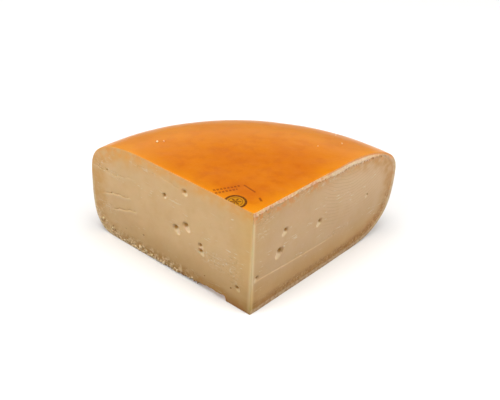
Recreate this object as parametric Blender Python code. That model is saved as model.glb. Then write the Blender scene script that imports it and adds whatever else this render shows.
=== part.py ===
"""A quarter of a gouda wheel, cut by hand with two knife strokes that meet near the wheel's centre.

The piece is one solid of cheese. It stands on the wheel's flat base, and its near edge, where the two
cut faces meet, points to -Y. The rind side is a round belly between two soft shoulders. The cut faces
hold the cheese's eyes, and the left one has lost crumbs along its foot and is cracked near the rind.
"""

import math
import random

import bmesh
import bpy
from mathutils import Euler, Matrix, Vector, noise

# Driving sizes of the wheel and of the cut, in metres and degrees
HEIGHT = 0.103
CUT_ANGLE = 93.3
NEAR_EDGE_LEAN = Vector((-0.0017, 0.0032))

# The rim's outline at each cut face. Reach is the wheel's radius at its belly, and each flat is the radius
# at which the top or the base starts to turn into its shoulder, by a superellipse of that power.
RIM_LEFT = {"reach": 0.1953, "belly": 0.0577, "top_flat": 0.1115, "top_power": 3.0,
            "base_flat": 0.1615, "base_power": 3.24}
RIM_RIGHT = {"reach": 0.2002, "belly": 0.0618, "top_flat": 0.1150, "top_power": 2.18,
             "base_flat": 0.1289, "base_power": 2.9}

# How finely the section and the sweep are divided
FLAT_STEPS = 7
SHOULDER_STEPS = 9
SIDE_STEPS = 14
SWEEP_STEPS = 38

# Eyes seen on the cut faces: distance from the near edge, height, width, height of the eye
EYES_LEFT = (
    (0.1008, 0.0757, 0.0052, 0.0040), (0.0766, 0.0896, 0.0046, 0.0026),
    (0.0872, 0.0483, 0.0060, 0.0044), (0.0751, 0.0562, 0.0056, 0.0046),
    (0.0576, 0.0436, 0.0044, 0.0032), (0.0575, 0.0379, 0.0046, 0.0028),
    (0.0151, 0.0208, 0.0038, 0.0026), (0.0221, 0.0170, 0.0024, 0.0018),
    (0.1696, 0.0479, 0.0028, 0.0022), (0.1746, 0.0711, 0.0028, 0.0024),
    (0.1513, 0.0167, 0.0022, 0.0018), (0.1282, 0.0204, 0.0022, 0.0018),
)
EYES_RIGHT = (
    (0.0415, 0.0679, 0.0050, 0.0042), (0.0353, 0.0490, 0.0066, 0.0054),
    (0.0879, 0.0558, 0.0048, 0.0038), (0.0072, 0.0355, 0.0040, 0.0028),
    (0.1574, 0.0538, 0.0026, 0.0022),
)
EYE_DEPTH = 0.9
EYE_SEED = 3

# The crumbled foot of the left face: where it starts and ends, and how high the paste has broken off
CRUMBLE_START = 0.0270
CRUMBLE_END = 0.1200
CRUMBLE_HEIGHT = 0.0046
CRUMBLE_DEPTH = 0.0034
CRUMBLE_CHUNKS = 15
CRUMBLE_SEED = 7

# Cracks in the left face near the rind: distance and height of both ends, and how deep and wide they gape
CRACKS = (
    (0.1793, 0.0449, 0.1474, 0.0528), (0.1664, 0.0323, 0.1387, 0.0420),
)
CRACK_DEPTH = 0.0030
CRACK_WIDTH = 0.0011
CRACK_SEED = 5

PASTE_COLOUR = (0.66, 0.47, 0.25, 1.0)
PASTE_ROUGHNESS = 0.55


def mix(a, b, share):
    return a + (b - a) * share


def rim(share):
    """The rim's sizes at a share of the sweep, from the right cut face at 0 to the left one at 1."""
    return {name: mix(RIM_RIGHT[name], RIM_LEFT[name], share) for name in RIM_LEFT}


def shoulder(flat, reach, power, turn):
    """Radius, and share of the rise from belly to face, at a turn from 0 on the belly to 1 on the flat."""
    angle = turn * math.pi / 2
    radius = flat + (reach - flat) * math.cos(angle) ** (2 / power) if turn < 1 else flat
    return radius, math.sin(angle) ** (2 / power)


def top_point(values, turn):
    radius, rise = shoulder(values["top_flat"], values["reach"], values["top_power"], turn)
    return Vector((radius, mix(values["belly"], HEIGHT, rise)))


def base_point(values, turn):
    radius, rise = shoulder(values["base_flat"], values["reach"], values["base_power"], turn)
    return Vector((radius, mix(values["belly"], 0.0, rise)))


def spread(points, count):
    """The polyline through the points, divided into count equal lengths."""
    lengths = [0.0]
    for a, b in zip(points, points[1:]):
        lengths.append(lengths[-1] + (b - a).length)
    found = []
    k = 0
    for step in range(count + 1):
        wanted = lengths[-1] * step / count
        while k < len(points) - 2 and lengths[k + 1] < wanted:
            k += 1
        share = (wanted - lengths[k]) / (lengths[k + 1] - lengths[k])
        found.append(points[k].lerp(points[k + 1], min(share, 1.0)))
    return found


CURVE_STEPS = 60
CORNER_TURN = 0.5


def section_sides(values):
    """The four sides of the cheese's cross-section as rows of points: base, top, near edge and rim side."""
    turns = [step / CURVE_STEPS for step in range(CURVE_STEPS + 1)]
    upper = [turn for turn in turns if turn >= CORNER_TURN]
    lower = [turn for turn in turns if turn <= CORNER_TURN]
    top_round = spread([top_point(values, turn) for turn in upper], SHOULDER_STEPS)[::-1]
    base_round = spread([base_point(values, turn) for turn in upper], SHOULDER_STEPS)[::-1]
    top_flat = spread([Vector((0.0, HEIGHT)), top_round[0]], FLAT_STEPS)
    base_flat = spread([Vector((0.0, 0.0)), base_round[0]], FLAT_STEPS)
    side = [base_point(values, turn) for turn in reversed(lower)]
    side += [top_point(values, turn) for turn in lower[1:]]
    near = spread([Vector((0.0, 0.0)), Vector((0.0, HEIGHT))], SIDE_STEPS)
    return base_flat + base_round[1:], top_flat + top_round[1:], near, spread(side, SIDE_STEPS)


def section_point(sides, column, row):
    """A point inside the cross-section, blended from its four sides."""
    base, top, near, side = sides
    p = column / (len(base) - 1)
    q = row / (len(near) - 1)
    ruled = base[column].lerp(top[column], q) + near[row].lerp(side[row], p)
    corners = base[0].lerp(base[-1], p).lerp(top[0].lerp(top[-1], p), q)
    return ruled - corners


def cut_direction(share):
    """Unit direction from the near edge along the sweep, at its share."""
    angle = math.radians(90 + CUT_ANGLE * (share - 0.5))
    return Vector((math.cos(angle), math.sin(angle)))


def place(radius, height, share):
    """The point in space of a section point. The near edge leans, and the lean fades towards the rim."""
    fade = 1 - radius / rim(share)["reach"]
    flat = cut_direction(share) * radius + NEAR_EDGE_LEAN * (height / HEIGHT) * fade
    return Vector((flat.x, flat.y, height))


def new_object(name, mesh_data):
    made = bpy.data.objects.new(name, bpy.data.meshes.new(name))
    mesh_data.to_mesh(made.data)
    mesh_data.free()
    bpy.context.scene.collection.objects.link(made)
    return made


def make_wedge():
    """The quarter wheel: one section face, spun about the wheel's axis and then set to its true outline."""
    columns = FLAT_STEPS + SHOULDER_STEPS
    bm = bmesh.new()
    column_layer = bm.verts.layers.int.new("column")
    row_layer = bm.verts.layers.int.new("row")
    bmesh.ops.create_grid(bm, x_segments=columns, y_segments=SIDE_STEPS, size=0.5)
    for vert in bm.verts:
        vert[column_layer] = round((vert.co.x + 0.5) * columns)
        vert[row_layer] = round((vert.co.y + 0.5) * SIDE_STEPS)
        vert.co = Vector((vert.co.x + 0.5, 0.0, vert.co.y + 0.5))
    sweep = math.radians(CUT_ANGLE)
    bmesh.ops.spin(bm, geom=bm.faces[:], cent=(0, 0, 0), axis=(0, 0, 1), angle=sweep,
                   steps=SWEEP_STEPS, use_duplicate=False)
    rings = [section_sides(rim(step / SWEEP_STEPS)) for step in range(SWEEP_STEPS + 1)]
    for vert in bm.verts:
        turned = math.atan2(vert.co.y, vert.co.x) / sweep if vert[column_layer] else 0.0
        step = round(turned * SWEEP_STEPS)
        spot = section_point(rings[step], vert[column_layer], vert[row_layer])
        vert.co = place(spot.x, spot.y, step / SWEEP_STEPS)
    bmesh.ops.remove_doubles(bm, verts=bm.verts[:], dist=1e-6)
    bmesh.ops.recalc_face_normals(bm, faces=bm.faces[:])
    return new_object("gouda_quarter", bm)


def face_frame(share, along, up):
    """Axes on a cut face at a spot on it: along the cut, through its surface, and up the cut."""
    spot = place(along, up, share)
    ahead = (place(along + 0.001, up, share) - spot).normalized()
    through = (place(along, up + 0.001, share) - spot).cross(ahead).normalized()
    turned = Matrix((ahead, through, ahead.cross(through))).transposed().to_4x4()
    return Matrix.Translation(spot) @ turned


def cutter(name, bm, cutters):
    made = new_object(name, bm)
    bpy.context.scene.collection.objects.unlink(made)
    cutters.objects.link(made)
    made.hide_render = True
    made.display_type = "WIRE"
    return made


def turned_ball(draw):
    """A faceted ball of 1 m radius, turned any way, so that its corners don't lie on a cut face."""
    bm = bmesh.new()
    turn = Euler([draw.uniform(0, math.tau) for _ in range(3)]).to_matrix().to_4x4()
    bmesh.ops.create_icosphere(bm, subdivisions=2, radius=1.0, matrix=turn)
    return bm


def cut_eyes(share, eyes, cutters):
    """Round hollows left by gas in the paste, each sliced open by the knife."""
    draw = random.Random(EYE_SEED)
    for n, (along, up, width, height) in enumerate(eyes):
        bm = turned_ball(draw)
        depth = (width + height) / 2 * EYE_DEPTH
        shape = face_frame(share, along, up) @ Matrix.Diagonal((width / 2, depth, height / 2, 1))
        bmesh.ops.transform(bm, matrix=shape, verts=bm.verts[:])
        cutter(f"eye_{'left' if share else 'right'}_{n}", bm, cutters)


def cut_crumbled_foot(cutters):
    """Chunks broken off the foot of the left face, highest near the corner and dying out along the cut."""
    draw = random.Random(CRUMBLE_SEED)
    for n in range(CRUMBLE_CHUNKS):
        share = n / (CRUMBLE_CHUNKS - 1)
        along = mix(CRUMBLE_START, CRUMBLE_END, share)
        high = CRUMBLE_HEIGHT * mix(0.12, 1, (1 + math.cos(math.pi * share)) / 2) * draw.uniform(0.85, 1.1)
        wide = (CRUMBLE_END - CRUMBLE_START) / CRUMBLE_CHUNKS * draw.uniform(0.75, 0.95)
        deep = CRUMBLE_DEPTH * (1 - 0.5 * share) * draw.uniform(0.8, 1.2)
        bm = turned_ball(draw)
        for vert in bm.verts:
            vert.co *= 1 + 0.35 * noise.noise(vert.co * 1.7 + Vector((n * 5.0, 0, 0)))
        turn = Matrix.Rotation(draw.uniform(-0.3, 0.3), 4, "Y")
        shape = face_frame(1, along, 0.0) @ turn @ Matrix.Diagonal((wide, deep, high, 1))
        bmesh.ops.transform(bm, matrix=shape, verts=bm.verts[:])
        cutter(f"crumb_{n}", bm, cutters)


def cut_cracks(cutters):
    """Thin gaping cracks in the drier paste near the rind."""
    draw = random.Random(CRACK_SEED)
    for n, (along_a, up_a, along_b, up_b) in enumerate(CRACKS):
        run = Vector((along_b - along_a, up_b - up_a))
        tilt = Matrix.Rotation(-math.atan2(run.y, run.x), 4, "Y")
        bm = turned_ball(draw)
        middle = face_frame(1, (along_a + along_b) / 2, (up_a + up_b) / 2)
        shape = middle @ tilt @ Matrix.Diagonal((run.length / 2, CRACK_DEPTH, CRACK_WIDTH / 2, 1))
        bmesh.ops.transform(bm, matrix=shape, verts=bm.verts[:])
        cutter(f"crack_{n}", bm, cutters)


def cheese_material():
    material = bpy.data.materials.new("gouda_paste")
    material.use_nodes = True
    shader = material.node_tree.nodes["Principled BSDF"]
    shader.inputs["Base Color"].default_value = PASTE_COLOUR
    shader.inputs["Roughness"].default_value = PASTE_ROUGHNESS
    shader.inputs["Metallic"].default_value = 0.0
    return material


def centre_on_base(solid):
    """Moves the mesh so that the origin is at the middle of its box, on the base."""
    box_low = Vector(map(min, zip(*(vert.co for vert in solid.data.vertices))))
    box_high = Vector(map(max, zip(*(vert.co for vert in solid.data.vertices))))
    middle = (box_low + box_high) / 2
    solid.data.transform(Matrix.Translation((-middle.x, -middle.y, -box_low.z)))


def main():
    for old in list(bpy.data.objects):
        bpy.data.objects.remove(old)
    quarter = make_wedge()
    cutters = bpy.data.collections.new("cutters")
    bpy.context.scene.collection.children.link(cutters)
    cut_eyes(0, EYES_RIGHT, cutters)
    cut_eyes(1, EYES_LEFT, cutters)
    cut_crumbled_foot(cutters)
    cut_cracks(cutters)
    cut = quarter.modifiers.new("eyes and breaks", "BOOLEAN")
    cut.operation = "DIFFERENCE"
    cut.operand_type = "COLLECTION"
    cut.collection = cutters
    cut.solver = "EXACT"
    bpy.context.view_layer.update()
    graph = bpy.context.evaluated_depsgraph_get()
    carved = bpy.data.meshes.new_from_object(quarter.evaluated_get(graph))
    quarter.modifiers.clear()
    quarter.data = carved
    for tool in list(cutters.objects):
        bpy.data.objects.remove(tool)
    bpy.data.collections.remove(cutters)
    centre_on_base(quarter)
    quarter.data.materials.clear()
    quarter.data.materials.append(cheese_material())
    quarter.data.shade_smooth()
    quarter.data.set_sharp_from_angle(angle=math.radians(35))
    print("gouda_quarter triangles", sum(len(face.vertices) - 2 for face in quarter.data.polygons))


main()
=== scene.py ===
"""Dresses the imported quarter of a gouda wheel: knife-cut paste, a coated rind and crumbs on its foot."""

import math
import random

import bmesh
import bpy
from mathutils import Matrix, Vector, kdtree, noise


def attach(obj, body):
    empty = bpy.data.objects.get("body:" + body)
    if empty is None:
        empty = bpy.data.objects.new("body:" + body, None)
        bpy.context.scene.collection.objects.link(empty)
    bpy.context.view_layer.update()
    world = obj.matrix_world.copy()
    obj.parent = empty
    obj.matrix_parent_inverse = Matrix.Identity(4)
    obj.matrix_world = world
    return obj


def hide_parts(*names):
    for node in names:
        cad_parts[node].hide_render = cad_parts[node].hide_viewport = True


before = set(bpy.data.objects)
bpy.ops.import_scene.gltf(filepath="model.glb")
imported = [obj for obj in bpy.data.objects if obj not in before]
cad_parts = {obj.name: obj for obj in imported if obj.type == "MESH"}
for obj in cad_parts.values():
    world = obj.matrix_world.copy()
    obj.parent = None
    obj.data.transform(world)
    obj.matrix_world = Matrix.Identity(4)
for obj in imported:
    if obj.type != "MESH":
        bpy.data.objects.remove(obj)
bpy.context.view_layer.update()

# The quarter is one piece of matured cow's milk cheese, pressed in a round mould and cut twice by hand with a
# long knife. Its cut faces are bare paste and everything else is rind. The mesh is one section of the wheel,
# swept round from the right cut to the left one, and set to the outline that the wheel has at each angle.

HEIGHT = 0.103
CUT_ANGLE = math.radians(93.3)
NEAR_CORNER = Vector((-0.00178, -0.09888, 0.0))
NEAR_EDGE_LEAN = Vector((-0.0017, 0.0032))
RIM_LEFT = {"reach": 0.1953, "belly": 0.0577, "top_flat": 0.1115, "top_power": 3.0,
            "base_flat": 0.1615, "base_power": 3.24}
RIM_RIGHT = {"reach": 0.2002, "belly": 0.0618, "top_flat": 0.1150, "top_power": 2.18,
             "base_flat": 0.1289, "base_power": 2.9}
SWEEP_STEPS = 96
SIDE_STEPS = 72
SHOULDER_TURNS = 60
CORNER_TURN = 0.5
NEAR_EDGE_COLUMNS = (0.0, 0.0022, 0.0045, 0.007, 0.010, 0.014)
EVEN_COLUMNS = 124


def mix(a, b, share):
    return a + (b - a) * share


def ease(low, high, value):
    """0 below low and 1 above high, with a smooth way between them."""
    t = min(max((value - low) / (high - low), 0.0), 1.0)
    return t * t * (3 - 2 * t)


def rim(share):
    """The rim's sizes at a share of the sweep, from the right cut at 0 to the left one at 1."""
    return {name: mix(RIM_RIGHT[name], RIM_LEFT[name], share) for name in RIM_LEFT}


def shoulder(flat, reach, power, turn):
    """Radius, and share of the rise from belly to face, at a turn from 0 on the belly to 1 on the flat."""
    angle = turn * math.pi / 2
    radius = flat + (reach - flat) * math.cos(angle) ** (2 / power) if turn < 1 else flat
    return radius, math.sin(angle) ** (2 / power)


def top_point(values, turn):
    radius, rise = shoulder(values["top_flat"], values["reach"], values["top_power"], turn)
    return Vector((radius, mix(values["belly"], HEIGHT, rise)))


def base_point(values, turn):
    radius, rise = shoulder(values["base_flat"], values["reach"], values["base_power"], turn)
    return Vector((radius, mix(values["belly"], 0.0, rise)))


def spread(points, shares):
    """Points at the given shares of a polyline's length."""
    lengths = [0.0]
    for a, b in zip(points, points[1:]):
        lengths.append(lengths[-1] + (b - a).length)
    found, k = [], 0
    for share in shares:
        wanted = lengths[-1] * share
        while k < len(points) - 2 and lengths[k + 1] < wanted:
            k += 1
        run = (wanted - lengths[k]) / (lengths[k + 1] - lengths[k])
        found.append(points[k].lerp(points[k + 1], min(run, 1)))
    return found


columns = list(NEAR_EDGE_COLUMNS)
columns += [mix(columns[-1], 1, (n + 1) / EVEN_COLUMNS) for n in range(EVEN_COLUMNS)]
rows = [n / SIDE_STEPS for n in range(SIDE_STEPS + 1)]
turns = [n / SHOULDER_TURNS for n in range(SHOULDER_TURNS + 1)]


def section_sides(values):
    """Base, top, near edge and rim side of the section, whose corners lie half way up the shoulders."""
    upper = [turn for turn in turns if turn >= CORNER_TURN]
    lower = [turn for turn in turns if turn <= CORNER_TURN]
    base = spread([Vector((0, 0))] + [base_point(values, turn) for turn in reversed(upper)], columns)
    top = spread([Vector((0, HEIGHT))] + [top_point(values, turn) for turn in reversed(upper)], columns)
    side = [base_point(values, turn) for turn in reversed(lower)] + [top_point(values, t) for t in lower[1:]]
    return base, top, spread([Vector((0, 0)), Vector((0, HEIGHT))], rows), spread(side, rows)


def section_point(sides, column, row):
    """A point inside the section, blended from its four sides."""
    base, top, near, side = sides
    p, q = columns[column], rows[row]
    ruled = base[column].lerp(top[column], q) + near[row].lerp(side[row], p)
    return ruled - base[0].lerp(base[-1], p).lerp(top[0].lerp(top[-1], p), q)


def cut_direction(share):
    """Unit direction from the near edge along the sweep, at its share."""
    angle = math.pi / 2 + CUT_ANGLE * (share - 0.5)
    return Vector((math.cos(angle), math.sin(angle)))


def place(radius, height, share):
    """A section point's place in the wheel. The near edge leans, and the lean fades towards the rim."""
    lean = NEAR_EDGE_LEAN * (height / HEIGHT) * (1 - radius / rim(share)["reach"])
    flat = cut_direction(share) * radius + lean
    return NEAR_CORNER + Vector((flat.x, flat.y, height))


quarter = bmesh.new()
column_of = quarter.verts.layers.int.new("column")
row_of = quarter.verts.layers.int.new("row")
bmesh.ops.create_grid(quarter, x_segments=len(columns) - 1, y_segments=SIDE_STEPS, size=0.5)
for vert in quarter.verts:
    vert[column_of] = round((vert.co.x + 0.5) * (len(columns) - 1))
    vert[row_of] = round((vert.co.y + 0.5) * SIDE_STEPS)
    vert.co = Vector((vert.co.x + 0.5, 0, vert.co.y + 0.5))
RIND, RIGHT, LEFT = 0, 1, 2
right_cut = quarter.faces[:]
swept = bmesh.ops.spin(quarter, geom=right_cut, cent=(0, 0, 0), axis=(0, 0, 1), angle=CUT_ANGLE,
                       steps=SWEEP_STEPS, use_duplicate=False)
left_cut = [part for part in swept["geom_last"] if isinstance(part, bmesh.types.BMFace)]
for face in right_cut:
    face.material_index = RIGHT
for face in left_cut:
    face.material_index = LEFT
rings = [section_sides(rim(n / SWEEP_STEPS)) for n in range(SWEEP_STEPS + 1)]
for vert in quarter.verts:
    turned = math.atan2(vert.co.y, vert.co.x) / CUT_ANGLE if vert[column_of] else 0.0
    step = round(turned * SWEEP_STEPS)
    spot = section_point(rings[step], vert[column_of], vert[row_of])
    vert.co = place(spot.x, spot.y, step / SWEEP_STEPS)
bmesh.ops.remove_doubles(quarter, verts=quarter.verts[:], dist=1e-6)
bmesh.ops.recalc_face_normals(quarter, faces=quarter.faces[:])

# The cuts, eyes and breaks. The knife left a clean plane on each side. Small gas eyes show in it, drawn out
# into a pale tail where the blade smeared them, brightened as a painted highlight, and with painted shade on
# their upper walls. The foot of the left face has crumbled away, the near edge is worn round, and the blade
# pulled the rind's coating over the top of the right face as a frayed lip.

# Eyes: along the cut, up the cut, width, height and length of the smeared tail, all in mm
EYES = {
    LEFT: ((100.8, 75.7, 4.2, 5.6, 1.0), (76.6, 89.6, 5.8, 3.8, 1.5), (87.2, 48.3, 6.4, 5.6, 4.4),
           (75.1, 56.2, 6.4, 6.0, 4.0), (57.6, 43.8, 4.6, 4.2, 2.0), (57.2, 37.9, 5.2, 4.0, 3.0),
           (15.1, 20.8, 4.6, 3.4, 2.4), (22.1, 17.0, 2.2, 1.8, 0), (169.6, 47.9, 2.4, 2.0, 0),
           (174.6, 71.1, 2.8, 2.4, 0), (151.3, 16.7, 1.8, 1.5, 0), (128.2, 20.4, 2.4, 1.8, 0),
           (52.5, 13.8, 2.2, 1.7, 0)),
    RIGHT: ((41.5, 67.9, 5.2, 4.8, 4.0), (35.3, 49.0, 7.2, 6.6, 4.6), (87.9, 55.8, 5.2, 4.6, 3.8),
            (7.2, 35.5, 4.2, 3.2, 3.0), (157.4, 53.8, 2.4, 2.2, 2.5)),
}
EYE_REACH = 14  # nothing of an eye or its tail lies farther than this from the eye's middle
TAIL_WAY = Vector((-0.62, -0.78))
# Cracks, from the rim inwards: along and up of both ends in mm, and how open
CRACKS = ((179.3, 44.9, 166.2, 49.2, 1.0), (166.2, 49.2, 147.4, 52.8, 1.0), (166.4, 32.3, 157.4, 36.0, 1.0),
          (157.4, 36.0, 138.7, 42.0, 1.0), (190.0, 70.7, 166.5, 69.3, 0.45), (166.5, 69.3, 141.7, 75.9, 0.45),
          (103.8, 93.7, 83.9, 90.5, 0.35))
# The low step that a second stroke of the knife left along the right cut: along and up, in mm
LEDGE = ((4.0, 32.8), (49.9, 30.5), (98.4, 29.3), (150.0, 31.0))
LIP_FOOT = 75  # the lip of coating hangs over the right cut above this height, in mm
# The near edge is worn to a round of this radius in mm. Each cut turns by half of the round, from here on.
NEAR_EDGE_RADIUS = 1.5
HALF_TURN = (math.pi - CUT_ANGLE) / 2
ROUND_FROM = NEAR_EDGE_RADIUS * math.tan(HALF_TURN)
# The crumbled foot: where it starts, is at its lowest and ends along the cut, how high and how deep, in mm
CRUMBLE_FROM, CRUMBLE_TO, CRUMBLE_END = 27.0, 122.0, (116, 128)
CRUMBLE_HIGH, CRUMBLE_DEEP = 4.6, 5.0
cut_ways = {RIGHT: cut_direction(0), LEFT: cut_direction(1)}
inward_ways = {RIGHT: Vector((-cut_ways[RIGHT].y, cut_ways[RIGHT].x)),
               LEFT: Vector((cut_ways[LEFT].y, -cut_ways[LEFT].x))}


def on_cut(side, spot):
    """Distance along the cut and height on it, in mm, of a point of the cut face."""
    flat = (spot - NEAR_CORNER).to_2d()
    reach = (RIM_LEFT if side == LEFT else RIM_RIGHT)["reach"]
    lean = NEAR_EDGE_LEAN.dot(cut_ways[side]) * spot.z / HEIGHT
    return 1000 * (flat.dot(cut_ways[side]) - lean) / (1 - lean / reach), 1000 * spot.z


def to_segment(point, a, b):
    """Distance from a point to a segment, and the share of the segment's length where it is nearest."""
    run = b - a
    share = min(max((point - a).dot(run) / run.length_squared, 0), 1)
    return (point - a - run * share).length, share


def ledge_height(along):
    """How high the ledge runs on the right cut, in mm."""
    for (a, low), (b, high) in zip(LEDGE, LEDGE[1:]):
        if along <= b:
            return mix(low, high, max(along - a, 0) / (b - a))
    return LEDGE[-1][1]


def crumble(along):
    """How high the foot of the left face has broken off, in mm, at a distance from the near corner."""
    share = min(max((along - CRUMBLE_FROM) / (CRUMBLE_TO - CRUMBLE_FROM), 0), 1)
    fall = mix(0.12, 1, (1 + math.cos(math.pi * share)) / 2)
    chips = 1 + 0.28 * noise.noise((along / 5.3, 4.7, 0)) + 0.14 * noise.noise((along / 2.1, 9.1, 0))
    ends = ease(CRUMBLE_FROM, CRUMBLE_FROM + 1.5, along) * (1 - ease(*CRUMBLE_END, along))
    return CRUMBLE_HIGH * fall * chips * ends


def near_eye(side, along, up):
    """Whether an eye or its tail is within about a millimetre."""
    return any(Vector((along - eye[0], up - eye[1])).length < max(eye[2:4]) * 0.75 + eye[4] * 0.6 + 0.8
               for eye in EYES[side])


def near_mark(side, along, up):
    """Whether a crack of the left cut or the ledge of the right one is within 1.6 to 3 mm."""
    if side == RIGHT:
        return along < 130 and abs(up - ledge_height(along)) < 1.6
    point = Vector((along, up))
    return any(to_segment(point, Vector(crack[:2]), Vector(crack[2:4]))[0] < 3 for crack in CRACKS)


def refine(wanted):
    """Halves the edges of the cut faces for which wanted says so."""
    faces = [face for face in quarter.faces if face.material_index != RIND
             and wanted(face.material_index, *on_cut(face.material_index, face.calc_center_median()))]
    edges = list({edge for face in faces for edge in face.edges})
    bmesh.ops.subdivide_edges(quarter, edges=edges, cuts=1, use_grid_fill=True)


outlines = {RIGHT: rings[0], LEFT: rings[-1]}


def at_lip(side, along, up):
    """Whether the lip may hang here, within 7 mm of the top of the right cut."""
    top = outlines[side][1]
    return side == RIGHT and any(abs(along - 1000 * point.x) < 1.6 and up > 1000 * point.y - 7 for point in top)


def detailed(side, along, up):
    """Whether the cut has relief here that needs finer faces."""
    return near_eye(side, along, up) or near_mark(side, along, up) or at_lip(side, along, up)


refine(lambda side, along, up: detailed(side, along, up) or (side == LEFT and up < 7 and 22 < along < 180))
refine(detailed)

# Measures that the paste's material reads: distance from the rind in mm, and from 0 to 1 how dried the paste
# is, how much painted shade falls on an eye's upper wall or in a crack's gap, how smeared or brightened by a
# painted highlight, how much under the lip and how scraped
skin_of, amber_of, pit_shade_of, smear_and_highlight_of, lip_of, scraped_of = [
    quarter.verts.layers.float.new(name) for name in ("skin", "amber", "pit_shade", "smear_and_highlight", "lip", "scraped")]
# Where the blade dragged crumbs over the cut: along, up, half length, half height in mm, and how thickly
SCRAPED = {
    LEFT: ((36, 36, 26, 9, 0.9), (17, 30, 9, 12, 0.8), (182, 74, 12, 7, 1.0), (165, 70, 14, 4, 0.8),
           (127, 92, 18, 3, 0.7), (176, 30, 14, 9, 0.7), (145, 8, 40, 5, 1.0), (100, 6, 35, 4, 1.0),
           (70, 9, 22, 4, 0.6), (20, 47, 8, 5, 0.6)),
    RIGHT: ((15, 92, 14, 6, 0.9), (80, 95, 90, 4, 0.5), (12, 78, 9, 7, 0.5), (118, 33, 20, 4, 0.6),
            (30, 10, 60, 5, 0.4)),
}
# How far the darker, drier paste reaches in from the rind, and up to where it is at its darkest, in mm: at the
# top, shoulder, side, lower shoulder and base
AMBER = {LEFT: ((18, 0), (26, 6), (24, 11), (20, 8), (14, 3)),
         RIGHT: ((20, 0), (26, 6), (25, 9), (22, 8), (14, 4))}
outline_points = {}
for side, (base, top, near, belly) in outlines.items():
    reach_top, reach_shoulder, reach_side, reach_foot, reach_base = [Vector(reach) for reach in AMBER[side]]
    points = []
    for n, point in enumerate(top):
        points.append((point * 1000, mix(reach_top, reach_shoulder, ease(0.62, 0.92, columns[n]))))
    for n, point in enumerate(belly):
        wide = mix(reach_foot, reach_side, ease(0.0, 0.45, rows[n]))
        points.append((point * 1000, mix(wide, reach_shoulder, ease(0.6, 1.0, rows[n]))))
    for n, point in enumerate(base):
        points.append((point * 1000, mix(reach_base, reach_foot, ease(0.6, 0.9, columns[n]))))
    outline_points[side] = points
outline_trees = {}
for side, points in outline_points.items():
    outline_trees[side] = kdtree.KDTree(len(points))
    for n, (point, wide) in enumerate(points):
        outline_trees[side].insert(point.to_3d(), n)
    outline_trees[side].balance()

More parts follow.
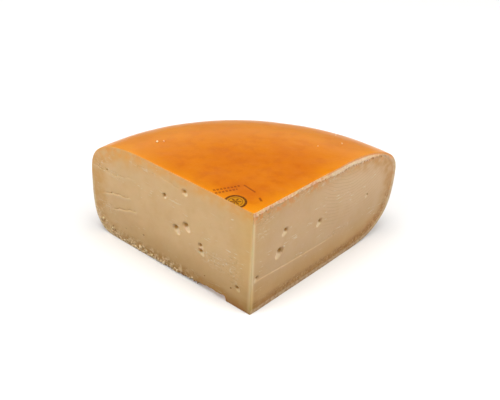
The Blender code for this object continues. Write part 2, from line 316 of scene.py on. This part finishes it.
cut_verts = {RIGHT: set(), LEFT: set()}
for face in quarter.faces:
    if face.material_index != RIND:
        cut_verts[face.material_index].update(face.verts)
for side in (RIGHT, LEFT):
    way, inward = cut_ways[side], inward_ways[side]
    for vert in cut_verts[side]:
        along, up = on_cut(side, vert.co)
        point = Vector((along, up))
        _, nearest, skin = outline_trees[side].find(point.to_3d())
        vert[skin_of] = skin
        faint, full = outline_points[side][nearest][1]
        vert[amber_of] = ease(faint, full, skin)
        # How deep the surface lies under the plane of the cut, in mm
        deep = 0.14 * noise.noise((along / 19, up / 13, side * 7))
        deep += 0.03 * noise.noise((along / 5, up / 4, side * 3))
        pit_shade = smear_and_highlight = 0.0
        if side == LEFT:
            wave = 1.3 * noise.noise((along / 4.5, 2.2, 0)) + 0.5 * noise.noise((along / 1.5, 5, 0))
            waved = point + Vector((0, wave))
            for a, low, b, high, opened in CRACKS:
                apart, _ = to_segment(waved, Vector((a, low)), Vector((b, high)))
                above = (waved - Vector((a, low))).dot(Vector((high - low, a - b)).normalized())
                fade = min(max(0.6 + 0.9 * noise.noise((along / 4, 2.2, 0)), 0), 1)
                gap = fade * math.exp(-(apart / 0.8) ** 2)
                flap = (0.5 + 0.5 * fade) * ease(5.5, 1.5, apart) * ease(-0.2, -1.6, above)
                deep += opened * (0.35 * gap - 0.25 * flap)
                # Painted shadow: a dark line along the crack's gap.
                pit_shade = max(pit_shade, 0.4 * gap * opened)
                flaky = 0.8 + 0.5 * noise.noise((along / 2, up / 2, 7))
                # The flap under a crack is pale: smeared paste, and a painted highlight of its lit lip.
                smear_and_highlight = max(smear_and_highlight, 0.34 * flap * opened ** 0.5 * flaky)
        else:
            step = ease(-0.4, 0.4, ledge_height(along) - up) * ease(2, 10, along) * (1 - ease(95, 130, along))
            deep += 0.14 - 0.32 * step
            # Painted highlight: a pale line along the ledge's edge.
            bright = ease(0.8, 0.2, abs(up - ledge_height(along)))
            bright *= ease(4, 12, along) * (1 - ease(90, 112, along))
            smear_and_highlight = 0.24 * bright * (0.75 + 0.9 * noise.noise((along / 5, 6.1, 0)))
        for n, (a, b, wide, high, tail) in enumerate(EYES[side]):
            off = point - Vector((a, b))
            if off.length > EYE_REACH:
                continue
            wobble = 1 + 0.18 * noise.noise((off.x * 0.6 + n, off.y * 0.6, side))
            rho = math.hypot(off.x / (wide / 2), off.y / (high / 2)) / wobble
            towards = off.dot(TAIL_WAY) / (0.25 * (wide + high))
            hollow = max(1 - rho * rho, 0) * 0.17 * (wide + high) * (1 - 0.45 * ease(-0.4, 0.9, towards))
            # Painted shade on the eye's upper wall, away from its tail.
            pit_shade = max(pit_shade, ease(1.15, 0.5, rho) * (ease(1.0, 0.0, towards) if tail else 1))
            if tail:
                apart, share = to_segment(point, Vector((a, b)), Vector((a, b)) + TAIL_WAY * tail)
                near = apart / (0.64 * wide * (1 - 0.3 * share)) / wobble
                hollow = max(hollow, max(1 - near * near, 0) * 0.15 * (wide + high) * (1 - 0.4 * share))
                # The pale tail: smeared paste, brightened as a painted highlight of its lit lower wall.
                smear_and_highlight = max(smear_and_highlight, 0.68 * ease(1.2, 0.5, near) * ease(0.1, 1.0, towards))
            deep = max(deep, 0) + hollow if hollow > 0 else deep
        vert[pit_shade_of], vert[smear_and_highlight_of] = pit_shade, min(smear_and_highlight, 1)
        zones = (much * ease(1.35, 0.4, math.hypot((along - a) / wide, (up - b) / high))
                 for a, b, wide, high, much in SCRAPED[side])
        vert[scraped_of] = max(zones)
        if side == RIGHT:
            frays = 3.5 + 2.9 * ease(75, 110, along) - 3.1 * ease(140, 180, along)
            frays += 1.6 * noise.noise((along / 13, 1, 0)) + 1.6 * noise.noise((along / 5, 3, 0))
            frays += 1.8 * noise.noise((along / 1.8, 8, 0))
            lip = ease(frays + 0.9, frays - 0.6, skin) if up > LIP_FOOT else 0.0
            lip *= 1 - ease(188, 196, along)
            vert[lip_of] = lip
            proud = mix(0.3, 0.85, min(skin / 4.5, 1))
            proud *= 1 + 0.5 * noise.noise((along / 2.4, up / 1.5, 5))
            deep -= lip * proud
        if along < ROUND_FROM:
            if along <= 1e-3:
                vert.co.y += NEAR_EDGE_RADIUS * (1 / math.cos(HALF_TURN) - 1) / 1000
                continue
            turn = (ROUND_FROM - along) / ROUND_FROM * HALF_TURN
            slid = ROUND_FROM - NEAR_EDGE_RADIUS * math.sin(turn) - along
            deep = NEAR_EDGE_RADIUS * (1 - math.cos(turn))
            vert.co += Vector((*way * slid / 1000, 0))
        if skin < 0.05:
            deep = min(deep, 0.3)
        vert.co += Vector((*inward * deep / 1000, 0)) * ease(0, 3, along)

# The foot of the left cut is broken off, highest near the corner, and the break runs a few mm in under it.
for vert in quarter.verts:
    along, _ = on_cut(LEFT, vert.co)
    if not CRUMBLE_FROM - 2 < along < 130 or vert.co.z > 0.016:
        continue
    behind = 1000 * (vert.co - NEAR_CORNER).to_2d().dot(inward_ways[LEFT])
    high = crumble(along)
    if behind < CRUMBLE_DEEP + 1 and high > 0:
        gone = high * ease(CRUMBLE_DEEP, 0.3, behind)
        up = 1000 * vert.co.z
        vert.co.z = 0.001 * (up + gone * max(1 - up / 15, 0))

# The rind swells a little unevenly, and the top less than the side, because the wheel was pressed flat.
for vert in quarter.verts:
    if vert.co.z > 0.004 and not any(face.material_index != RIND for face in vert.link_faces):
        swell = 0.35 * noise.noise(vert.co * 42) + 0.12 * noise.noise(vert.co * 130)
        vert.co += vert.normal * min(swell, 0.15 if vert.co.z > 0.09 else 0.4) / 1000
for face in quarter.faces:
    face.smooth = True


def new_piece(name, mesh_data):
    """An object with the bmesh as its mesh, at the origin."""
    made = bpy.data.objects.new(name, bpy.data.meshes.new(name))
    mesh_data.to_mesh(made.data)
    mesh_data.free()
    bpy.context.scene.collection.objects.link(made)
    return made


cheese = new_piece("gouda_cheese", quarter)
cheese.data.set_sharp_from_angle(angle=math.radians(38))
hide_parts("gouda_quarter")
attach(cheese, "root")

# The paste is cut and smeared cheese: a close, fatty, matt solid that light enters a little way. It is straw
# coloured at heart, turns amber where it has dried next to the rind, and is flecked with white fat and salt.
# Patterns are in millimetres, so a noise of scale 0.1 has patches about 10 mm wide.

DRAG_SLANT = 50  # how steeply the blade dragged its flecks up the cut, in degrees
KNIFE_SWING_CENTRE = (135.0, 0.0, 148.0)  # the knife rocked about it and left rounds of fine ridges
KNIFE_RIDGE_PITCH = 3.3


def linear(colour):
    """Linear colour of an sRGB hex value."""
    parts = [int(colour[n:n + 2], 16) / 255 for n in (0, 2, 4)]
    return (*[c / 12.92 if c <= 0.04045 else ((c + 0.055) / 1.055) ** 2.4 for c in parts], 1.0)


def add(tree, kind, *inputs, out=None, **named):
    """Adds a node and returns its output. Inputs are values or sockets, in the node's order or under their
    names. Names that start small are settings."""
    node = tree.nodes.new("ShaderNode" + kind)
    for name, value in named.items():
        if name[0].islower():
            setattr(node, name, value)
    pairs = list(zip([socket for socket in node.inputs if socket.enabled], inputs))
    pairs += [(node.inputs[name], value) for name, value in named.items() if name[0].isupper()]
    for socket, value in pairs:
        if isinstance(value, bpy.types.NodeSocket):
            tree.links.new(value, socket)
        else:
            socket.default_value = value
    return node.outputs[out] if out else next(socket for socket in node.outputs if socket.enabled)


def where(tree, *parts):
    """How strongly a stain shows: the product of numbers, sockets and smooth steps. A step is a measure, where
    it starts and ends, and its values there if they aren't 0 and 1."""
    product = None
    for part in parts:
        if isinstance(part, tuple):
            part = add(tree, "MapRange", *part, interpolation_type="SMOOTHSTEP")
        product = part if product is None else add(tree, "Math", product, part, operation="MULTIPLY")
    return product


def stain(tree, colour, *layers, how="MIX"):
    """The colour under layers, each a hex tone and how strongly it shows."""
    for tone, share in layers:
        colour = add(tree, "Mix", share, colour, linear(tone), data_type="RGBA", blend_type=how)
    return colour


def new_material(name, roughness, ior, light=()):
    """A shader with its gloss. Light says how much light enters it, how far in each colour, and over what
    length in metres."""
    material = bpy.data.materials.new(name)
    material.use_nodes = True
    shader = material.node_tree.nodes["Principled BSDF"]
    shader.inputs["Roughness"].default_value = roughness
    shader.inputs["IOR"].default_value = ior
    for socket, value in zip(("Subsurface Weight", "Subsurface Radius", "Subsurface Scale"), light):
        shader.inputs[socket].default_value = value
    return material, material.node_tree, shader


def finish_surface(tree, shader, colour, height, strength, distance):
    """Gives the shader its colour and its fine relief, which is at most the distance deep, in metres."""
    tree.links.new(colour, shader.inputs["Base Color"])
    bump = add(tree, "Bump", Strength=strength, Distance=distance, Height=height)
    tree.links.new(bump, shader.inputs["Normal"])


def cut_paste(name, side, heart, shade, dry_top, dry_side):
    """Paste of one cut face. X runs along the cut, Y into the cheese and Z up it, all in mm."""
    material, tree, shader = new_material(name, 0.5, 1.45, (0.35, (1.0, 0.5, 0.22), 0.003))
    heading = math.atan2(cut_ways[side].y, cut_ways[side].x)
    turn = Matrix.Rotation(-heading, 3, "Z") * 1000
    spot = add(tree, "Mapping", add(tree, "TexCoord", out="Object"), Location=-(turn @ NEAR_CORNER),
               Rotation=(0, 0, -heading), Scale=(1000, 1000, 1000))
    along, _, up = add(tree, "SeparateXYZ", spot).node.outputs
    slant = math.radians(DRAG_SLANT if side == LEFT else -DRAG_SLANT)
    dragged = add(tree, "Mapping", spot, Rotation=(0, slant, 0), Scale=(0.25, 1.0, 1.4))
    skin, amber, pit_shade, smear_and_highlight, scraped, lip = [
        add(tree, "Attribute", attribute_name=layer, out="Fac")
        for layer in ("skin", "amber", "pit_shade", "smear_and_highlight", "scraped", "lip")]
    fine = add(tree, "TexNoise", spot, 0.55, 4.0, 0.6)

    # The heart of the paste, clouded a little, and its dry amber border
    colour = stain(
        tree, linear(heart),
        (shade, where(tree, (add(tree, "TexNoise", spot, 0.03, 2.0, 0.55), 0.3, 0.7))),
        ("F2DDB4", where(tree, 0.1, (fine, 0.45, 0.8))),
        ("DFB070", where(tree, 0.2, (add(tree, "TexNoise", spot, 0.1, 2.0, 0.55), 0.42, 0.68))))
    if side == RIGHT:
        colour = stain(tree, colour, ("F7D2A4", where(tree, 0.6, (along, 70.0, 150.0), (up, 30.0, 85.0))))
    dry = stain(tree, linear(dry_side), (dry_top, where(tree, (up, 62.0, 98.0))))
    dried = where(tree, amber, (add(tree, "TexNoise", spot, 0.11, 4.0, 0.55), 0.32, 0.68, 0.4, 1.25))
    colour = add(tree, "Mix", dried, colour, dry, data_type="RGBA")
    colour = stain(
        tree, colour,
        ("F4A848", where(tree, 0.55, (skin, 17.0, 5.0), (up, 74.0, 90.0), (along, 95.0, 140.0),
                         (add(tree, "TexNoise", spot, 0.13, 3.0, 0.55), 0.46, 0.64))),
        ("B6884A", where(tree, 0.4 if side == RIGHT else 0.1, (skin, 13.0, 9.5), (skin, 5.0, 7.5),
                         (up, 62.0, 40.0),
                         (add(tree, "TexNoise", spot, 0.14, 4.0, 0.55), 0.35, 0.62, 0.25, 1.0))))

    # The scuffed line of the rind's edge. On the right cut the foot is browned and crumbly, and the knife left
    # ridges.
    scuffed = (add(tree, "TexNoise", spot, 0.3, 3.0, 0.55), 0.35, 0.6, 0.35, 1.0)
    if side == RIGHT:
        foot = where(tree, (skin, 14.0, 8.0), (up, 60.0, 25.0), (along, 12.0, 50.0))
        browned = where(tree, foot, (add(tree, "TexNoise", spot, 0.26, 4.0, 0.62), 0.46, 0.58))
        crumbly = where(tree, foot, (add(tree, "TexNoise", spot, 0.36, 4.0, 0.62), 0.5, 0.6))
        swing = add(tree, "VectorMath", spot, KNIFE_SWING_CENTRE, operation="DISTANCE")
        swing = add(tree, "Math", add(tree, "TexNoise", spot, 0.04, 2.0, 0.55), 5.0, swing,
                    operation="MULTIPLY_ADD")
        turns = add(tree, "Math", swing, math.tau / KNIFE_RIDGE_PITCH, operation="MULTIPLY")
        ridges = where(tree, (add(tree, "Math", turns, operation="SINE"), 0.45, 1.0), (along, 80.0, 105.0),
                       (along, 190.0, 165.0), (up, 36.0, 50.0),
                       (add(tree, "TexNoise", spot, 0.045, 2.0, 0.55), 0.35, 0.55, 0.25, 1.0))
        edge_line = where(tree, (skin, 5.0, 3.0), (up, 100.0, 50.0, 0.45, 1.0), scuffed)
        colour = stain(
            tree, colour,
            ("B27528", where(tree, 0.75, browned,
                             (add(tree, "TexNoise", spot, 0.07, 2.0, 0.55), 0.35, 0.6, 0.3, 1.0))),
            ("F8D49E", where(tree, 0.6, crumbly)),
            ("B98F5F", where(tree, 0.2, ridges)))
    else:
        edge_line = where(tree, (skin, 3.4, 1.8), (up, 62.0, 40.0), (along, 90.0, 150.0), scuffed)
        colour = stain(tree, colour, ("F0B466", where(tree, 0.7, (skin, 1.7, 0.7), (up, 80.0, 96.0))))
    colour = stain(tree, colour, ("F0DAB2", where(tree, 0.7, edge_line)))

    # White flecks all over, flakes and their painted shadows where the blade scraped, painted shade in the eyes
    # and cracks, and pale smears that are partly painted highlight
    flecks = where(tree, (add(tree, "TexNoise", dragged, 0.45, 3.0, 0.6), 0.6, 0.68),
                   (add(tree, "TexNoise", spot, 0.05, 2.0, 0.55), 0.5, 0.62))
    flakes = add(tree, "Math", where(tree, (add(tree, "TexNoise", spot, 0.34, 3.0, 0.55), 0.56, 0.68)),
                 where(tree, (add(tree, "TexNoise", dragged, 0.6, 3.0, 0.6), 0.57, 0.65)),
                 operation="MAXIMUM")
    flecks = add(tree, "Math", flecks, where(tree, flakes, scraped), operation="MAXIMUM")
    shadows = add(tree, "Math", where(tree, (add(tree, "TexNoise", spot, 0.42, 2.0, 0.5), 0.58, 0.7)),
                  where(tree, (add(tree, "TexNoise", dragged, 0.5, 3.0, 0.6), 0.59, 0.66)),
                  operation="MAXIMUM")
    colour = stain(tree, colour, ("F9E9C9", where(tree, 0.72, flecks)),
                   ("A87F4A", where(tree, 0.4, shadows, scraped)),
                   # Painted shade in eye pits and crack gaps, then pale smears with painted highlights.
                   ("A66E00", where(tree, 0.93, pit_shade)), ("FFE9C2", where(tree, 0.9, smear_and_highlight)))

    # The paste is yellower at the near edge. Its worn round corner gets a painted highlight, and painted shade
    # darkens the paste towards its foot.
    yellowed = where(tree, 1.0 if side == LEFT else 0.6, (along, 34.0, 2.0), (up, 0.0, 90.0, 0.45, 0.9))
    colour = stain(tree, colour, ("FFF9DC", yellowed), how="MULTIPLY")
    # Painted highlight: a pale band on the worn round of the near edge.
    colour = stain(tree, colour, ("FFE3AE", where(tree, 0.92, (along, 5.0, 1.6))))
    # Painted shade: the paste is darkened with falling height, most in the lowest 15 mm.
    painted_height_shade = add(tree, "ValToRGB", where(tree, 0.01, up))
    stops = painted_height_shade.node.color_ramp.elements
    for height, tone in ((0.06, "CEC4A6"), (0.15, "E2DBCE"), (0.35, "EFEDE9"), (0.55, "F7F6F5")):
        stops.new(height).color = linear(tone)
    stops[0].color, stops[-1].color = linear("B09B80"), linear("FFFFFF")
    colour = add(tree, "Mix", 1.0, colour, painted_height_shade, data_type="RGBA", blend_type="MULTIPLY")
    # A warmer tint on the right cut and a little more painted shade on the left one, below 34 mm.
    foot_tint_and_shade = "FFF8E3" if side == RIGHT else "F4F3F0"
    colour = stain(tree, colour, (foot_tint_and_shade, where(tree, (up, 34.0, 14.0))), how="MULTIPLY")
    colour = stain(tree, colour, ("E6CBA2", where(tree, 0.45, edge_line)))

    # What sets the cuts apart: a torn, pitted foot on the left one, and on the right one the lip of peeled
    # coating and the orange streaks that the blade dragged down from it, which also paint the shade under the
    # lip near the corner. Their relief follows their colours.
    relief = [(fine, 0.4), (add(tree, "TexNoise", dragged, 1.1, 3.0, 0.55), 0.7), (flecks, 0.8)]
    if side == LEFT:
        foot = where(tree, (skin, 15.0, 5.0), (along, 55.0, 90.0), (up, 34.0, 20.0))
        torn = where(tree, foot, (add(tree, "TexNoise", spot, 0.2, 4.0, 0.6), 0.48, 0.6))
        holes = where(tree, foot, (add(tree, "TexNoise", dragged, 0.38, 4.0, 0.65), 0.54, 0.62))
        colour = stain(
            tree, colour,
            ("F0CE9A", where(tree, 0.3, (along, 115.0, 175.0), (up, 34.0, 12.0),
                             (add(tree, "TexNoise", spot, 0.13, 4.0, 0.55), 0.3, 0.6, 0.4, 1.0))),
            ("EFD3A6", where(tree, 0.65, torn)), ("8A6034", where(tree, 0.5, holes)))
        relief += [(torn, 2.0), (holes, -2.0)]
    else:
        peel = stain(
            tree, linear("FFD9A8"),
            ("F6BE94", where(tree, (add(tree, "TexNoise", spot, 0.35, 3.0, 0.55), 0.42, 0.6))),
            ("E89C50", where(tree, 0.65, (add(tree, "TexNoise", spot, 0.4, 3.0, 0.55), 0.54, 0.64))),
            ("EBB57C", where(tree, 0.75, (along, 140.0, 175.0))),
            ("FFE2BE", where(tree, 0.6, (along, 85.0, 105.0), (along, 165.0, 145.0))),
            ("E8912E", where(tree, 0.85, (skin, 2.4, 0.9), (along, 78.0, 100.0))))
        colour = add(tree, "Mix", where(tree, 0.95, lip), colour, peel, data_type="RGBA")
        below_lip = add(tree, "Math", 1.0, lip, operation="SUBTRACT")
        # Orange streaks dragged from the coating, also a painted shade under the lip, strongest near the
        # corner.
        colour = stain(tree, colour, ("EE9E50", where(
            tree, 0.75, below_lip, (skin, 14.0, 6.0), (up, 80.0, 88.0), (along, 115.0, 70.0, 0.2, 1.0),
            (add(tree, "TexNoise", spot, 0.22, 3.0, 0.55), 0.47, 0.58))))
        relief += [(ridges, -0.7), (crumbly, 1.5), (browned, -1.5)]
    grain = 0.0
    for part, height in relief:
        grain = add(tree, "Math", part, height, grain, operation="MULTIPLY_ADD")
    finish_surface(tree, shader, colour, grain, 0.3, 0.0003)
    return material


# The rind is the wheel's dried skin under several brushed coats of orange cheese coating, a soft matt-gloss
# plastic that handling has polished. It is slightly uneven and has a small round printed seal near the wheel's
# centre.

coating, tree, shader = new_material("cheese_coating_brushed", 0.3, 1.5, (0.15, (1.0, 0.35, 0.05), 0.002))
shader.inputs["Specular IOR Level"].default_value = 0.2
spot = add(tree, "VectorMath", add(tree, "TexCoord", out="Object"), 1000.0, operation="SCALE")
fine = add(tree, "TexNoise", spot, 0.42, 4.0, 0.55)
corner_mm = NEAR_CORNER.to_2d() * 1000
from_corner = add(tree, "VectorMath", spot, (*corner_mm, 1000 * HEIGHT), operation="DISTANCE")

# Brush marks and blotches. The coating is painted paler towards the back rim, a painted sheen of the bright
# backdrop, and thins to a yellow brim along both cuts.
colour = stain(
    tree, linear("C86F00"),
    ("C06400", where(tree, (add(tree, "TexNoise", spot, 0.022, 3.0, 0.55), 0.3, 0.7))),
    ("B45602", where(tree, 0.42, (add(tree, "TexNoise", spot, 0.09, 3.0, 0.55), 0.44, 0.7))),
    ("D68406", where(tree, 0.2, (fine, 0.5, 0.8))),
    # Painted sheen: paler far from the near corner.
    ("E29C40", where(tree, 0.4, (from_corner, 85.0, 175.0))))
for side, rim_at_cut, paleness in ((RIGHT, RIM_RIGHT, 0.1), (LEFT, RIM_LEFT, 0.3)):
    foot = NEAR_CORNER.to_2d() + NEAR_EDGE_LEAN
    run = (NEAR_CORNER.to_2d() + cut_ways[side] * rim_at_cut["reach"] - foot).normalized()
    inward = Vector((-run.y, run.x, 0)) if side == RIGHT else Vector((run.y, -run.x, 0))
    behind = add(tree, "VectorMath", spot, inward, operation="DOT_PRODUCT")
    behind = add(tree, "Math", behind, 1000 * foot.to_3d().dot(inward), operation="SUBTRACT")
    colour = stain(tree, colour, ("EE982A", where(tree, paleness, (behind, 2.2, 0.3))),
                   ("E69406", where(tree, 0.28, (behind, 16.0, 1.0))))

# A small round seal in brown ink on a mustard ground was pressed on near the middle of the wheel, with two rows
# of plain dashes and two bars beside it. The left cut goes through it. Places are in mm from the near corner.
SEAL_AT = (-15.5, 20.5)
SEAL_RADIUS = 9.6
SEAL_RING = 2.1
FINE_RING = (5.6, 6.1)
PETAL_LENGTH = 4.9
BARS = (((-7.1, 45.7), (1.7, 34.4), 1.6), ((4.4, 26.4), (5.9, 21.2), 1.9))
DASH_ROWS = (((-33.3, 37.3), (-10.6, 44.5)), ((-31.8, 33.2), (-13.0, 39.2)))
DASH_HEIGHT, DASH_PITCH, DASH_FILLED = 2.4, 3.1, 0.68


def ink_frame(at, angle):
    """X and Y of the coating in mm, measured from a place and turned by an angle."""
    moved = add(tree, "VectorMath", spot, (corner_mm.x + at[0], corner_mm.y + at[1], 0), operation="SUBTRACT")
    turned = add(tree, "Mapping", moved, Rotation=(0, 0, -angle))
    return add(tree, "SeparateXYZ", turned).node.outputs[:2]


def band(value, low, high, soft=0.25):
    return where(tree, (value, low - soft, low + soft), (value, high + soft, high - soft))


def bar(start, end, thick):
    """An inked bar from start to end, and the measure along it."""
    run = Vector(end) - Vector(start)
    x, y = ink_frame(start, run.angle_signed(Vector((1, 0))))
    return where(tree, band(x, 0.0, run.length), band(y, -thick / 2, thick / 2)), x


x, y = ink_frame(SEAL_AT, 0)
radius = add(tree, "Math", add(tree, "Math", y, y, where(tree, x, x), operation="MULTIPLY_ADD"),
             operation="SQRT")
around = where(tree, 3.0, add(tree, "Math", y, x, operation="ARCTAN2"))
petals = add(tree, "Math", add(tree, "Math", around, operation="COSINE"), operation="ABSOLUTE")
petals = add(tree, "Math", where(tree, PETAL_LENGTH, petals), radius, operation="SUBTRACT")
inked = band(radius, SEAL_RADIUS - SEAL_RING, SEAL_RADIUS)
for more in (where(tree, 0.8, (petals, -0.3, 0.3)), band(radius, *FINE_RING, 0.2)):
    inked = add(tree, "Math", inked, more, operation="MAXIMUM")
marked = 0.0
for start, end, thick in BARS:
    marked = add(tree, "Math", marked, bar(start, end, thick)[0], operation="MAXIMUM")
for start, end in DASH_ROWS:
    row, x = bar(start, end, DASH_HEIGHT)
    beat = add(tree, "Math", add(tree, "Math", x, DASH_PITCH, operation="DIVIDE"), operation="FRACT")
    row = where(tree, row, add(tree, "Math", beat, DASH_FILLED, operation="LESS_THAN"))
    marked = add(tree, "Math", marked, row, operation="MAXIMUM")
on_top = (add(tree, "SeparateXYZ", spot, out="Z"), 1000 * HEIGHT - 1.5, 1000 * HEIGHT - 0.5)
worn = (add(tree, "TexNoise", spot, 0.9, 2.0, 0.55), 0.36, 0.56, 0.7, 1.0)
colour = stain(
    tree, colour,
    ("7A2C00", where(tree, 0.78, marked, worn, on_top)),
    ("B87C0E", where(tree, 0.85, (radius, SEAL_RADIUS + 0.2, SEAL_RADIUS - 0.3), on_top)),
    ("561E00", where(tree, inked, worn, on_top)))
unevenness = add(tree, "Math", fine, 0.4, add(tree, "TexNoise", spot, 0.11, 3.0, 0.55),
                 operation="MULTIPLY_ADD")
finish_surface(tree, shader, colour, unevenness, 0.3, 0.0004)

cheese.data.materials.append(coating)
for name, side, tones in (("cheese_paste_right_cut", RIGHT, ("E8C192", "E3BA8A", "E0A666", "D89F5E")),
                          ("cheese_paste_left_cut", LEFT, ("F0C993", "EAC18A", "EFB264", "E2AE69"))):
    cheese.data.materials.append(cut_paste(name, side, *tones))

# Crumbs of paste that the blade tore from the foot of the left cut cling to the broken edge, some pale and
# fresh and some browned by the rind, and a few lie on the top. Each is an uneven lump of one to five
# millimetres.

CRUMB_COUNT = 230  # in clusters along the foot
BREAK_CRUMB_COUNT = 60  # loose in the broken edge
# Where the crumbs gather on the foot: along the cut, and how far they spread, in mm
CLUSTERS = ((72, 5), (84, 4), (97, 6), (110, 5), (122, 5), (136, 8), (150, 7), (163, 7), (174, 5))
# Crumbs on the top: right of and behind the near corner, and size, in mm
TOP_CRUMBS = ((-81, 117, 2.2), (-75, 118, 1.6), (63.7, 112.4, 1.7), (83.1, 133.2, 1.3), (86.4, 117.5, 1.6))
draw = random.Random(11)
crumbs = bmesh.new()
tone_of = crumbs.verts.layers.float.new("tone")


def crumb(spot, size, tone):
    """An uneven lump of a size in mm at a spot, lifted clear of the floor. Tone goes from fresh to browned."""
    lump = bmesh.ops.create_icosphere(crumbs, subdivisions=1, radius=1.0)["verts"]
    turn = Matrix.Rotation(draw.uniform(0, math.tau), 3, Vector([draw.uniform(-1, 1) for _ in range(3)]))
    stretch = Matrix.Diagonal([size * draw.uniform(0.6, 1.3) / 2000 for _ in range(3)])
    seed = draw.uniform(0, 90)
    for vert in lump:
        rough = 1 + 0.55 * noise.noise(vert.co * 1.3 + Vector((seed, 0, 0)))
        vert.co = turn @ (stretch @ (vert.co * rough))
    lowest = min(vert.co.z for vert in lump)
    lift = max(0.0001 - lowest - spot.z, 0)
    for vert in lump:
        vert.co += spot + Vector((0, 0, lift))
        vert[tone_of] = tone


def foot_spot(along, up, behind):
    """A place on the left cut, at a height and a depth behind it, in mm."""
    flat = NEAR_CORNER.to_2d() + (cut_ways[LEFT] * along + inward_ways[LEFT] * behind) / 1000
    return Vector((flat.x, flat.y, up / 1000))


for _ in range(CRUMB_COUNT):
    middle, spread_out = draw.choice(CLUSTERS)
    along = min(draw.gauss(middle, spread_out), 182)
    curve = 14 * ease(148, 186, along) ** 2
    up = 0.8 * crumble(along) + curve + abs(draw.gauss(0, 1.3 if along < 125 else 2.6))
    size = draw.uniform(0.8, 1.8) if draw.random() < 0.5 else draw.uniform(2.0, 4.8)
    crumb(foot_spot(along, up, 0.34 * size), size, draw.random() ** 1.5)
for _ in range(BREAK_CRUMB_COUNT):
    along = draw.uniform(60, 120)
    spot = foot_spot(along, crumble(along) * draw.uniform(0.3, 1.0), draw.uniform(0.3, 2.5))
    crumb(spot, draw.uniform(1.2, 2.8), draw.uniform(0.4, 1.0))
for x, y, size in TOP_CRUMBS:
    crumb(NEAR_CORNER + Vector((x, y, 1000 * HEIGHT)) / 1000, size, 0.0)
for face in crumbs.faces:
    face.smooth = True
crumb_piece = new_piece("foot_crumbs", crumbs)
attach(crumb_piece, "root")

# Torn cheese: crumbly, matt, and lit through at its thin edges.
torn, tree, shader = new_material("cheese_paste_torn", 0.6, 1.45, (0.3, (1.0, 0.5, 0.22), 0.0015))
spot = add(tree, "VectorMath", add(tree, "TexCoord", out="Object"), 1000.0, operation="SCALE")
colour = stain(
    tree, linear("EACD9E"),
    ("8C5E32", where(tree, (add(tree, "Attribute", attribute_name="tone", out="Fac"), 0.1, 0.9))),
    ("D9AE74", where(tree, 0.4, (add(tree, "TexNoise", spot, 1.2, 2.0, 0.55), 0.4, 0.7))))
finish_surface(tree, shader, colour, add(tree, "TexNoise", spot, 2.5, 2.0, 0.55), 0.4, 0.0002)
crumb_piece.data.materials.append(torn)

# The photographer's table: a pale seamless sweep of matt paper under two big soft boxes at the sides and one
# above, which light both cut faces evenly and leave only a soft shadow round the foot. Three weaker ones behind
# bring out the rim. The paper throws no light back on to the cheese.

floor_mesh = bmesh.new()
bmesh.ops.create_grid(floor_mesh, x_segments=1, y_segments=1, size=30.0)
floor = new_piece("floor", floor_mesh)
floor.data.transform(Matrix.Translation((0, 0, -0.0002)))  # just clear of the cheese's base
paper, _, shader = new_material("matt_paper", 0.9, 1.3)
shader.inputs["Base Color"].default_value = linear("F4F3F1")
floor.data.materials.append(paper)
floor.visible_diffuse = False

for name, place_at, look_at, size, power in (
        ("left_soft_box", (-1.5, -0.7, 1.0), (0, 0, 0.05), (1.2, 1.0), 24),
        ("right_soft_box", (1.5, -0.7, 1.0), (0, 0, 0.05), (1.2, 1.0), 22),
        ("top_soft_box", (0.0, -0.1, 1.9), (0, 0, 0.05), (1.6, 1.2), 26),
        ("back_soft_box", (0.0, 2.2, 0.95), (0, 0, 0.1), (3.0, 0.35), 3),
        ("rear_left_soft_box", (-1.9, 1.6, 0.9), (0, 0, 0.05), (1.0, 1.0), 9),
        ("rear_right_soft_box", (1.9, 1.6, 0.9), (0, 0, 0.05), (1.0, 1.0), 9)):
    light = bpy.data.objects.new(name, bpy.data.lights.new(name, "AREA"))
    light.data.shape = "RECTANGLE"
    light.data.size, light.data.size_y = size
    light.data.energy = power
    light.location = place_at
    light.rotation_euler = (Vector(look_at) - Vector(place_at)).to_track_quat("-Z", "Y").to_euler()
    bpy.context.scene.collection.objects.link(light)

world = bpy.data.worlds.new("studio")
bpy.context.scene.world = world
world.use_nodes = True
world.node_tree.nodes["Background"].inputs["Color"].default_value = (1, 1, 1, 1)
world.node_tree.nodes["Background"].inputs["Strength"].default_value = 0.12

# The camera stands where the photographer's did.
camera = bpy.data.objects.new("camera", bpy.data.cameras.new("camera"))
camera.location = (-0.06352, -0.68605, 0.50581)
camera.rotation_euler = [math.radians(angle) for angle in (56.643, -2.849, -3.576)]
camera.data.sensor_width = 36.0
camera.data.lens = 64.78
camera.data.clip_end = 100.0
bpy.context.scene.collection.objects.link(camera)
bpy.context.scene.camera = camera
bpy.context.scene.view_settings.view_transform = "Standard"
